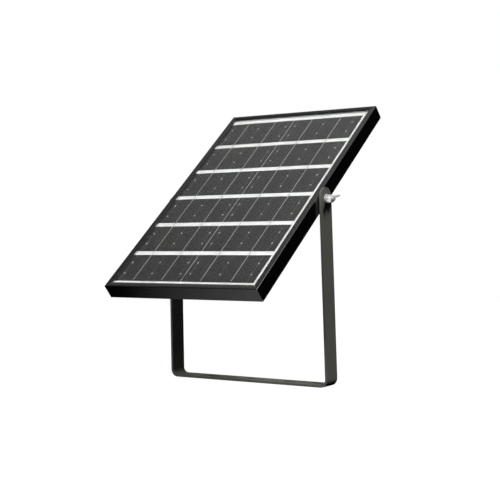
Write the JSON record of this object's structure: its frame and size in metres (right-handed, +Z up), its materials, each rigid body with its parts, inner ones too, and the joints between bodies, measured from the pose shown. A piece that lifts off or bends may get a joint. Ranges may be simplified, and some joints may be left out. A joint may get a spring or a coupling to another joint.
{
  "type": "solar flood light panel",
  "caption": "Framed solar panel of a solar flood light on a tall U-shaped tilt bracket, clamped by a wing nut at its pivot and standing on a slotted base strap.",
  "frame": {"origin": "on the ground, under the middle of the whole outline; the bracket's own middle plane is at x = -0.005", "axes": "+Z up, +X along the tilt axis towards the wing nut, -Y towards the panel's lower edge, which is the front"},
  "size_m": [0.259, 0.2935, 0.3549],
  "materials": {
    "powder_coat": "satin",
    "anodised_frame": "satin black anodised",
    "raw_aluminium": "mill",
    "glass": "clear",
    "silicon": "satin",
    "tinned_copper": "satin",
    "backsheet": "matte",
    "sealant": "matte",
    "black_plastic": "fine texture",
    "grey_plastic": "matte",
    "rubber": "matte",
    "brass": "satin",
    "zinc_plate": "bright zinc plate"
  },
  "bodies": {
    "bracket": {"u_bracket": "powder_coat"},
    "panel": {"frame_rail_right": "anodised_frame", "frame_rail_upper": "anodised_frame", "frame_rail_left": "anodised_frame", "frame_rail_lower": "anodised_frame", "corner_key_upper_right": "raw_aluminium", "corner_key_upper_left": "raw_aluminium", "corner_key_lower_left": "raw_aluminium", "corner_key_lower_right": "raw_aluminium", "front_glass": "glass", "solar_cell_row1_left": "silicon", "solar_cell_row1_right": "silicon", "solar_cell_row2_left": "silicon", "solar_cell_row2_right": "silicon", "solar_cell_row3_left": "silicon", "solar_cell_row3_right": "silicon", "solar_cell_row4_left": "silicon", "solar_cell_row4_right": "silicon", "solar_cell_row5_left": "silicon", "solar_cell_row5_right": "silicon", "solar_cell_row6_left": "silicon", "solar_cell_row6_right": "silicon", "tabbing_ribbon_left_inner": "tinned_copper", "tabbing_ribbon_left_outer": "tinned_copper", "tabbing_ribbon_right_inner": "tinned_copper", "tabbing_ribbon_right_outer": "tinned_copper", "cross_ribbon": "tinned_copper", "positive_lead_ribbon": "tinned_copper", "negative_lead_ribbon": "tinned_copper", "backsheet": "backsheet", "laminate_seal": "sealant", "junction_box_body": "black_plastic", "junction_box_lid": "black_plastic", "cable_gland_body": "black_plastic", "cable_gland_cap": "black_plastic", "blocking_diode": "black_plastic", "terminal_block": "grey_plastic", "junction_box_gasket": "rubber", "cable_gland_seal": "rubber", "terminal_screw_left": "brass", "terminal_screw_right": "brass", "lid_screw_1": "zinc_plate", "lid_screw_2": "zinc_plate", "lid_screw_3": "zinc_plate", "lid_screw_4": "zinc_plate", "right_pivot_bolt": "zinc_plate", "left_pivot_screw": "zinc_plate", "left_lock_nut": "zinc_plate"},
    "washers": {"right_flat_washer": "zinc_plate", "right_spring_washer": "zinc_plate"},
    "wing_nut": {"right_wing_nut": "zinc_plate"}
  },
  "joints": [
    {"name": "panel_tilt", "type": "hinge", "parent": "bracket", "child": "panel", "pos_m": [-0.005, 0, 0.233], "axis": [1, 0, 0], "range_deg": [-128.5, 51.5]},
    {"name": "washer_slide", "type": "slide", "parent": "panel", "child": "washers", "axis": [1, 0, 0], "range_m": [0, 0.003]},
    {"name": "wing_nut_turn", "type": "hinge", "parent": "washers", "child": "wing_nut", "pos_m": [-0.005, 0, 0.233], "axis": [1, 0, 0], "range_deg": [0, 1080]}
  ],
  "couplings": [
    {"joint": "wing_nut_turn", "follows": "washer_slide", "rad_per_m": 6283.2}
  ]
}
